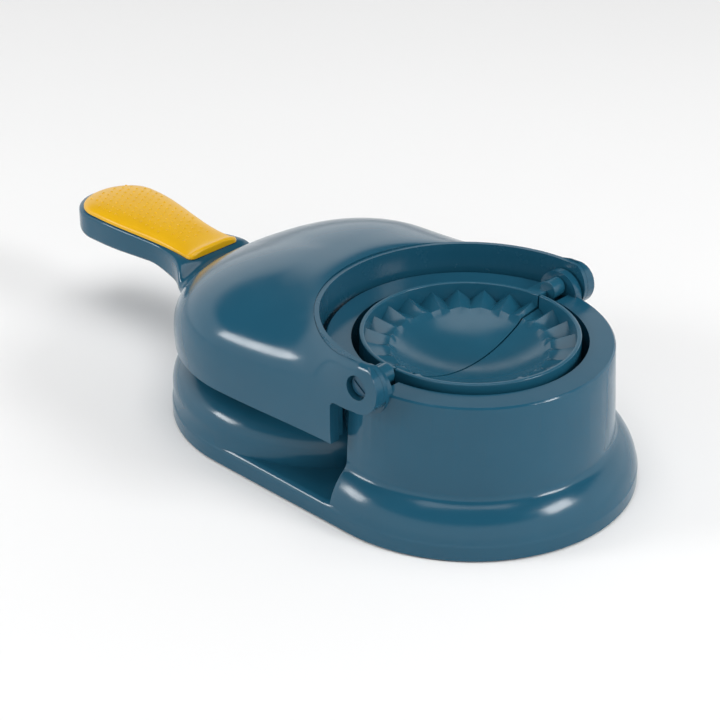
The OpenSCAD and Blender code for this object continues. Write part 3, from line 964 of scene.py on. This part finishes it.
# ------------------------------------------------------------------ handle
@dataclass
class Handle:
    """The lever's handle: a waisted bar with a round tip, flared into the dome.

    Lengths are told from the tower's axis backwards where they name a reach.
    """

    dome: Dome
    tip_reach: float = 205.8
    grip_reach: float = 131.8
    front_w: float = 13.5
    waist: float = 4.0
    waist_end: float = 0.7
    swell: float = 0.3
    tip_w: float = 16.5
    tip_lift: float = 2.5
    flare_w: float = 27.1
    flare_x: float = -158.0
    flare_end: float = -120.6
    flare_power: float = 2.2
    low_z: float = 31.3
    low_ease: float = 15.0
    seat_z: float = 42.0
    seat_bend: tuple[float, float, float] = (-0.7, 4.9, 1.3)
    under_edge: float = 4.2
    shoulder: float = 1.2
    shoulder_l: float = 6.0
    shoulder_back: float = 2.0
    soft_l: float = 12.0
    soft_back: float = 9.0
    upper_power: float = 12.0
    lower_power: float = 2.6
    inside_x: float = -120.5
    crease_from: float = -136.0
    crease_to: float = -118.0
    fillet_low: float = 8.0
    fillet_top: float = 5.0
    fillet_turn: tuple[float, float] = (-28.0, 208.0)
    fillet_climb: float = 0.8

    def along(self, x: Array) -> Array:
        """Share of the way from the grip's front to the handle's tip."""
        return limit((-self.grip_reach - x) / (self.tip_reach - self.grip_reach))

    def seat(self, x: Array) -> Array:
        """Height of the grip's seat: a cubic Bezier from the grip's front to the tip."""
        controls = [self.seat_z + bend for bend in (0.0, *self.seat_bend)]
        return bezier(*controls, self.along(x))

    def half(self, x: Array, reach: float) -> Array:
        """Half-width of the handle: a Bezier waist closed by an elliptic tip.

        Args:
            x: Places along it.
            reach: Where its tip ends.

        Returns:
            The half-widths.
        """
        tip = limit(1 - (x + reach) / self.tip_w)
        waist, full = self.front_w - self.waist, self.tip_w + self.swell
        share = limit(self.along(x) / self.waist_end)
        return bezier(self.front_w, waist, full, self.tip_w, share) * np.sqrt(1 - tip**2)

    def body_half(self, x: Array) -> Array:
        """Half-width of the blue body, with the flare that runs into the dome."""
        t = limit((x - self.flare_x) / (self.flare_end - self.flare_x))
        return self.half(x, self.tip_reach) + (self.flare_w - self.front_w) * t**self.flare_power

    def rings(self, x: Array, angle: Array) -> Array:
        """Rings of the body: superellipses, nearly square above and softer below.

        Args:
            x: Places along it.
            angle: Angles round it.

        Returns:
            Points, shape (x, angle, 3).
        """
        x, a = np.broadcast_arrays(x[:, None], angle[None, :])
        tip, front = limit(1 - (x + self.tip_reach) / self.tip_w), x + self.grip_reach
        flare = ease((x - self.flare_x) / self.low_ease)
        low = self.low_z + self.tip_lift * tip**2 + (self.dome.dome_rim - self.low_z) * flare
        high = self.seat(x) - self.shoulder * ease((front + self.shoulder_back) / self.shoulder_l)
        up = np.sin(a) > 0
        upper = mix(self.upper_power, 2.0, ease((front + self.soft_back) / self.soft_l))
        shape = np.where(up, upper, self.lower_power)
        mid = low + self.under_edge
        width = np.maximum(self.body_half(x), 0.3) * power(np.cos(a), shape)
        rise = np.where(up, high - mid, self.under_edge) * power(np.sin(a), shape)
        return np.stack([x, width, mid + rise], axis=-1)

    def ring_points(self, x: Array, angle: Array) -> Array:
        """Points of the rings for matching lists of x and angle."""
        return self.rings(x, angle)[np.arange(len(x)), np.arange(len(angle))]

    def bar(self) -> Surface:
        """The handle's body, closed at the tip and ended inside the dome's wall.

        Returns:
            The closed surface.
        """
        turn = np.radians(np.linspace(3, 90, 26))
        tip = -self.tip_reach + self.tip_w * (1 - np.cos(turn))
        x = np.concatenate([tip, np.linspace(tip[-1], self.inside_x, 90)[1:]])
        return Surface.tube(self.rings(x, np.radians(np.arange(0, 360, 2.5))))

    def neck_fillet(self) -> Surface:
        """Concave fillet where the neck runs into the dome.

        For each ring angle the crease is found by halving along X. A quadratic
        Bezier then runs from a point back on the neck, past the crease, to a
        point up the dome's wall.

        Returns:
            The closed surface.
        """
        angle = np.radians(np.linspace(*self.fillet_turn, 119))
        low = np.full(len(angle), self.crease_from)
        high = np.full(len(angle), self.crease_to)
        for _ in range(40):
            mid = (low + high) / 2
            ring = self.ring_points(mid, angle)
            out = ring[:, 0] > self.dome.rear_wall_x(ring[:, 1], ring[:, 2])
            low, high = np.where(out, low, mid), np.where(out, mid, high)
        crease = self.ring_points(low, angle)
        size = mix(self.fillet_low, self.fillet_top, ease(limit(np.sin(angle)) / 0.8))
        back = self.ring_points(low - size, angle)
        # the wall's points lie off the crease at right angles to its run, seen from behind
        run = (np.roll(crease, -1, axis=0) - np.roll(crease, 1, axis=0))[:, 1:]
        run[0], run[-1] = (crease[1] - crease[0])[1:], (crease[-1] - crease[-2])[1:]
        outward = np.stack([run[:, 1], -run[:, 0]], axis=1)
        outward /= np.linalg.norm(outward, axis=1)[:, None]
        yz = crease[:, 1:] + outward * size[:, None] * self.fillet_climb
        yz[:, 1] = np.maximum(yz[:, 1], self.dome.dome_rim + 0.05)
        rear = self.dome.rear_wall_x(yz[:, 0], yz[:, 1])
        wall = np.concatenate([rear[:, None], yz], axis=1)
        t = np.linspace(0, 1, 15)[None, :, None]
        curve = back[:, None] * (1 - t) ** 2 + wall[:, None] * t**2
        curve += 2 * crease[:, None] * t * (1 - t)
        inside = (crease + (2.0, 0, 0))[:, None] * (1, 0.97, 1)
        return Surface.tube(np.concatenate([curve, inside], axis=1))

    def build(self, palette: Palette) -> None:
        """Makes the handle and the fillet at its neck.

        Args:
            palette: All materials.
        """
        look = (Body.LEVER, Slot.SHELL, palette.lever)
        make_piece("lever_handle", self.bar(), Dress(*look, sharp=50))
        make_piece("lever_neck_fillet", self.neck_fillet(), Dress(*look, sharp=60))


# ------------------------------------------------------------------ grip
@dataclass
class Grip:
    """The yellow hand grip with its raised bead and its dots."""

    handle: Handle
    thickness: float = 3.5
    front_t: float = 2.2
    rise_end: float = 0.35
    bead: float = 0.8
    bead_back: float = 1.3
    bead_w: float = 1.4
    tip_gap: float = 2.5
    edge_gap: float = 0.5
    seat_gap: float = 0.02
    shape: float = 2.8
    corner: float = 3.0
    front_sink: float = 0.7
    dot_pitch: float = 3.4
    dot_row: float = 3.0
    dot_r: float = 0.62
    dot_h: float = 0.34
    dot_sink: float = 0.04
    dot_margin: float = 3.6
    dot_sides: int = 8
    rows_aside: int = 4
    dots_in_row: int = 22
    dots_from: float = -143.0
    dots_to: float = -196.0

    @property
    def tip_r(self) -> float:
        """Radius of the grip's round tip."""
        return self.handle.tip_w - self.edge_gap

    @property
    def tip_x(self) -> float:
        """Middle of the round tip."""
        return self.tip_gap + self.handle.tip_w - self.handle.tip_reach

    def half(self, x: Array) -> Array:
        """Half-width of the grip: round at the tip, with rounded corners at its front.

        Args:
            x: Places along it.

        Returns:
            The half-widths.
        """
        tip = limit((self.tip_x - x) / self.tip_r)
        front = limit((x + self.handle.grip_reach + self.corner) / self.corner)
        reach = self.handle.tip_reach - self.tip_gap
        wide = self.handle.half(np.maximum(x, self.tip_x), reach) - self.edge_gap
        rounded = wide * np.sqrt(1 - tip**2) - self.corner * (1 - np.sqrt(1 - front**2))
        return np.maximum(0.05, rounded)

    def rise(self, x: Array) -> Array:
        """Thickness of the grip: thin at the front, with a raised bead near the edge.

        Args:
            x: Places along it.

        Returns:
            The thicknesses.
        """
        bead = np.exp(-(((x + self.handle.grip_reach + self.bead_back) / self.bead_w) ** 2))
        body = mix(self.front_t, self.thickness, ease(self.handle.along(x) / self.rise_end))
        return body + self.bead * bead

    def top_height(self, x: Array, y: Array) -> Array:
        """Height of the grip's top, by a superellipse of the share of the way out.

        Args:
            x: Places along it.
            y: Side distances.

        Returns:
            The heights.
        """
        tip = limit((self.tip_x - x) / self.tip_r)
        flat = self.half(x) / np.sqrt(np.maximum(1 - tip**2, 1e-4))
        share = np.minimum(np.hypot(tip, y / flat), 1)
        dome = (1 - share**self.shape) ** (1 / self.shape)
        return self.handle.seat(x) + self.seat_gap + self.rise(x) * dome

    def pad(self) -> Surface:
        """The grip's body, as closed sections from its tip to its front.

        Returns:
            The closed surface.
        """
        tip = self.tip_x - self.tip_r * np.cos(np.radians(np.linspace(1, 90, 40)))
        turn = np.sin(np.linspace(0, QUARTER, 16))
        front = -self.handle.grip_reach - self.corner * (1 - turn)
        x = np.concatenate([tip, np.linspace(tip[-1], front[0], 60)[1:], front[1:]])
        angle = np.linspace(0, np.pi, 61)
        across, a = np.broadcast_arrays(x[:, None], angle[None, :])
        y = self.half(across) * power(np.cos(a), self.shape)
        # the front edge is rounded: the last five sections sink on a quarter circle
        sink = np.zeros(len(x))
        sink[-5:] = self.front_sink * (1 - np.cos(np.linspace(0, QUARTER, 6)[1:]))
        z = self.top_height(across, y) - sink[:, None] * np.sin(angle) ** 0.3
        top = np.stack([across, y, z], axis=-1)
        floor = top[:, ::-1].copy()
        floor[..., 2] = self.handle.seat(x)[:, None] + self.seat_gap
        return Surface.tube(np.concatenate([top, floor[:, 1:-1]], axis=1))

    def dots(self) -> Surface:
        """Raised dots in staggered rows: one low dome of a few rings, set down many times.

        Returns:
            The dots.
        """
        aside, along = np.arange(-self.rows_aside, self.rows_aside + 1), np.arange(self.dots_in_row)
        r, c = np.meshgrid(aside, along, indexing="ij")
        x = self.dots_from - (c + 0.5 * (r % 2)) * self.dot_pitch
        y = r * self.dot_row
        inside = (np.abs(y) < self.half(x) - self.dot_margin) & (x > self.dots_to)
        x, y = x[inside], y[inside]
        sides, lift = self.dot_sides, np.radians([0, 30, 60])[:, None]
        turn = np.linspace(0, 2 * np.pi, sides + 1)[:-1]
        out, up = self.dot_r * np.cos(lift), self.dot_h * np.sin(lift)
        rings = np.stack([out * np.cos(turn), out * np.sin(turn), up + 0 * turn], -1)
        dot = np.concatenate([rings.reshape(-1, 3), [[0, 0, self.dot_h]]])
        centre = np.stack([x, y, self.top_height(x, y) - self.dot_sink], axis=1)
        points = (centre[:, None] + dot[None]).reshape(-1, 3)
        last, k = (len(lift) - 1) * sides, np.arange(sides)
        fan = np.stack([last + k, last + (k + 1) % sides, np.full(sides, len(dot) - 1)], 1)
        shift = (np.arange(len(x)) * len(dot))[:, None, None]
        faces = (loop_faces(len(lift), sides)[None] + shift).reshape(-1, 4).tolist()
        return Surface(points, faces + (fan[None] + shift).reshape(-1, 3).tolist())

    def build(self, palette: Palette) -> None:
        """Makes the grip and its dots.

        Args:
            palette: All materials.
        """
        look = (Body.LEVER, Slot.GRIP, palette.grip)
        make_piece("grip_pad", self.pad(), Dress(*look, sharp=50, replaces=("hand_grip",)))
        make_piece("grip_dots", self.dots(), Dress(*look, sharp=60))


# ------------------------------------------------------------------ mould
@dataclass
class Mould:
    """Both halves of the pleated mould, and the arms that the rear one swings on."""

    rim_r: float = 38.6
    rim_t: float = 1.7
    rim_h: float = 10.0
    rim_top: float = 55.7
    rim_round: float = 0.45
    seam_gap: float = 0.35
    shelf_r: float = 28.1
    shelf_z: float = 48.8
    shelf_t: float = 2.0
    bowl_z: float = 94.0
    bowl_curve: float = 52.6
    bowl_t: float = 2.1
    hub_r: float = 0.4
    pleats: int = 12
    pleat_h: float = 4.1
    pleat_end: float = 26.0
    pleat_turn: float = math.radians(4)
    column: float = 0.5
    arm_from: float = 38.1
    boss_from: float = 41.8
    boss_to: float = 47.8
    boss_r: float = 3.5
    arm_back: float = -6.7
    arm_front: float = -0.15
    arm_low: float = 3.6
    arm_high: float = 0.2
    arm_edge: float = 0.3

    def pleat(self, r: Array, angle: Array) -> Array:
        """Height of the pleats: flat-sided ridges from the rim's wall inwards.

        Across a ridge the height falls linearly to both sides. Along it, it falls
        linearly from the rim's wall to nothing a little way into the bowl.

        Args:
            r: Distances from the tower's axis.
            angle: Angles round it.

        Returns:
            The heights over the bowl and the shelf.
        """
        turn = (angle + self.pleat_turn) * self.pleats / np.pi
        side = np.abs(turn - np.floor(turn) - 0.5) * 2
        wall = self.rim_r - self.rim_t
        return self.pleat_h * limit((r - self.pleat_end) / (wall - self.pleat_end)) * (1 - side)

    def bowl(self, r: Array, depth: float) -> Array:
        """Radius and height of points on the bowl's sphere, or a wall's depth under it."""
        return np.stack([r, self.bowl_z - np.sqrt((self.bowl_curve + depth) ** 2 - r**2)], 1)

    def half(self) -> Surface:
        """The front half: closed loops at each angle, with flat ends at the seam.

        Returns:
            The closed surface.
        """
        # columns lie on every ridge and valley line, and on the seam's two ends
        turns = np.arange(-90, 90.01, self.column) - math.degrees(self.pleat_turn) % self.column
        angle = np.radians(np.concatenate([[-90], turns[turns > -90], [90]]))[:, None]
        out, inn, top, e = self.rim_r, self.rim_r - self.rim_t, self.rim_top, self.rim_round
        q = np.linspace(0, QUARTER, 6)
        rim_out = np.stack([out - e + e * np.cos(q), top - e + e * np.sin(q)], 1)
        rim_in = np.stack([inn + e - e * np.sin(q), top - e + e * np.cos(q)], 1)
        r_edge = np.linspace(self.shelf_r, self.pleat_end, 5)[:-1]
        bowl = self.bowl(np.concatenate([r_edge, np.linspace(self.pleat_end, self.hub_r, 34)]), 0)
        share = np.linspace(0, 1, 21)[:-1]
        shelf = [mix(inn, self.shelf_r, share), mix(self.shelf_z, bowl[0, 1], share)]
        under = self.bowl(np.linspace(self.hub_r, self.shelf_r, 20), self.bowl_t)
        foot = top - self.rim_h
        below = np.array([[inn, self.shelf_z - self.shelf_t], [inn, foot], [out, foot]])
        parts = [rim_out, rim_in, np.stack(shelf, 1), bowl, under, below]
        section = np.concatenate(parts)
        r = np.broadcast_to(section[:, 0], (len(angle), len(section)))
        z = np.broadcast_to(section[:, 1], r.shape).copy()
        # the pleats stand on the shelf and on the bowl's edge
        first = len(rim_out) + len(rim_in)
        pleated = slice(first, first + len(share) + len(r_edge) + 1)
        z[:, pleated] += self.pleat(r[:, pleated], angle + QUARTER)
        x = np.maximum(r * np.cos(angle), self.seam_gap)
        return Surface.tube(np.stack([x, r * np.sin(angle), z], axis=-1))

    def arm(self, side: int) -> Surface:
        """Arm from the rear half's rim to its hinge boss, and the boss.

        Args:
            side: 1 or -1.

        Returns:
            Both as one surface.
        """
        low, high = HINGE_Z - self.arm_low, HINGE_Z - self.arm_high
        rim = [(self.arm_back, low), (self.arm_front, low), (self.arm_front, high)]
        rim.append((self.arm_back, high))
        ends = [[(x, side * y, z) for x, z in rim] for y in (self.arm_from, self.boss_to)]
        boss = Surface.hinge_bar(self.boss_r, side * self.boss_from, side * self.boss_to, 48)
        return Surface.tube(np.array(ends)).joined(boss)

    def build(self, palette: Palette) -> None:
        """Makes the fixed front half, the folding rear half and its arms.

        Args:
            palette: All materials.
        """
        front = self.half()
        rear = Surface(front.points * (-1, -1, 1), front.faces)
        arms = self.arm(-1).joined(self.arm(1))
        look = (Slot.MOULD, palette.mould)
        fixed = Dress(Body.BASE, *look, sharp=24, replaces=("mould_front_half",))
        folding = Dress(Body.FOLD, *look, sharp=24, replaces=("mould_rear_half",))
        make_piece("mould_front_skin", front, fixed)
        make_piece("mould_rear_skin", rear, folding)
        make_piece("mould_arms", arms, Dress(Body.FOLD, *look, 35, self.arm_edge, segments=3))


# ------------------------------------------------------------------ stage
@dataclass(frozen=True)
class SoftLight:
    """A rectangular soft light: its place, its aim, its size in metres and its watts."""

    name: str
    at: Vec3
    aim: Vec3
    size: tuple[float, float]
    watts: float

    def build(self) -> None:
        """Puts the light into the scene."""
        data = bpy.data.lights.new(self.name, "AREA")
        data.shape, data.energy = "RECTANGLE", self.watts
        data.size, data.size_y = self.size
        way = Vector(self.aim) - Vector(self.at)
        turn = way.to_track_quat("-Z", "Y").to_matrix().to_4x4()
        add_object(self.name, data).matrix_world = Matrix.Translation(Vector(self.at)) @ turn


@dataclass
class Studio:
    """Pale floor, soft lights and the camera at the photograph's place.

    The world is a white sweep up to a little over the horizon's level, where
    the sky's height coordinate passes sweep_low to sweep_high, and a dim room
    above it.
    """

    camera_at: Vec3 = (0.48235, -0.4774, 0.3895)
    look: Vec3 = (-0.61012, 0.62877, -0.48207)
    up: Vec3 = (-0.33570, 0.34597, 0.87612)
    lens: float = 102.5
    sensor: float = 36.0
    sweep: float = 1.25
    room: float = 0.12
    sweep_low: float = 0.44
    sweep_high: float = 0.53
    floor_half: float = 4.0
    floor_patch_mm: float = 1000 / 3
    lights: tuple[SoftLight, ...] = (
        SoftLight("soft_top", (0.1, -0.1, 1.4), (0, 0, 0), (1.2, 1.2), 11.5),
        SoftLight("soft_left", (-0.75, -0.95, 0.58), (0, 0, 0.03), (0.4, 0.26), 5.2),
        SoftLight("soft_right", (1.1, 0.35, 0.7), (0.07, 0, 0.03), (0.4, 0.3), 7),
    )

    def camera(self) -> None:
        """Places the camera by its viewing direction."""
        data = bpy.data.cameras.new("camera")
        data.lens, data.sensor_width = self.lens, self.sensor
        data.clip_start, data.clip_end = 0.05, 20
        eye = add_object("camera", data)
        ahead, up = Vector(self.look).normalized(), Vector(self.up).normalized()
        right = ahead.cross(up).normalized()
        turn = Matrix((right, right.cross(ahead), -ahead)).transposed().to_4x4()
        eye.matrix_world = Matrix.Translation(Vector(self.camera_at)) @ turn
        bpy.context.scene.camera = eye

    def floor(self) -> None:
        """A wide pale floor that isn't part of the press."""
        mesh = bpy.data.meshes.new("floor")
        far = self.floor_half
        corner = [(-far, -far, 0), (far, -far, 0), (far, far, 0), (-far, far, 0)]
        mesh.from_pydata(corner, [], [(0, 1, 2, 3)])
        work = MaterialTree("pale_floor")
        tint = work.tint(work.noise(self.floor_patch_mm), "f1f1f1", "ededed")
        mesh.materials.append(work.finish({"Base Color": tint, "Roughness": 0.9}))
        floor = add_object("floor", mesh)

    def world(self) -> None:
        """The white sweep and the dim room."""
        world = bpy.data.worlds.new("studio")
        bpy.context.scene.world = world
        world.use_nodes = True
        tree = world.node_tree
        tree.nodes.clear()
        way = add_node(tree, "ShaderNodeTexCoord").outputs["Generated"]
        up = add_node(tree, "ShaderNodeSeparateXYZ", {"Vector": way}).outputs["Z"]
        span = {"From Min": self.sweep_low, "From Max": self.sweep_high}
        span |= {"To Min": self.sweep, "To Max": self.room}
        glow = add_node(tree, "ShaderNodeMapRange", {"Value": up, **span}).outputs["Result"]
        shine = add_node(tree, "ShaderNodeBackground", {"Color": (1, 1, 1, 1), "Strength": glow})
        add_node(tree, "ShaderNodeOutputWorld", {"Surface": shine.outputs["Background"]})

    def build(self) -> None:
        """Sets up the world, the floor, the lights and the camera."""
        self.world()
        self.floor()
        for light in self.lights:
            light.build()
        self.camera()
        bpy.context.scene.view_settings.view_transform = "Standard"


def main() -> None:
    """Builds the scene in order."""
    logging.basicConfig(level=logging.INFO, format="%(name)s: %(message)s")
    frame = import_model()
    palette = Palette()
    dome = Dome()
    handle = Handle(dome)
    for part in (dome, handle, Grip(handle), Mould()):
        part.build(palette)
    moulding = Dress(Body.BASE, Slot.SHELL, palette.base, rounding=0.4)
    lining = Dress(Body.LEVER, Slot.SHELL, palette.liner, rounding=0.3)
    pin = Dress(Body.LEVER, Slot.PIN, palette.pin, rounding=0.2)
    dress_copy(frame, "base_tower", "tower_moulding", moulding)
    dress_copy(frame, "base_pedestal", "pedestal_moulding", moulding)
    dress_copy(frame, "lever_liner", "lever_lining", lining)
    dress_copy(frame, "hinge_pin_near", "pin_near", pin)
    dress_copy(frame, "hinge_pin_far", "pin_far", pin)
    paint(frame, palette.inner, "dough_plate", "press_disc")
    paint(frame, palette.foot, "base_feet")
    screws = ("dough_plate_screws", "mould_screws", "liner_screws")
    paint(frame, palette.screw, *screws, "press_disc_screws", "grip_screws")
    Studio().build()


if __name__ == "__main__":
    main()
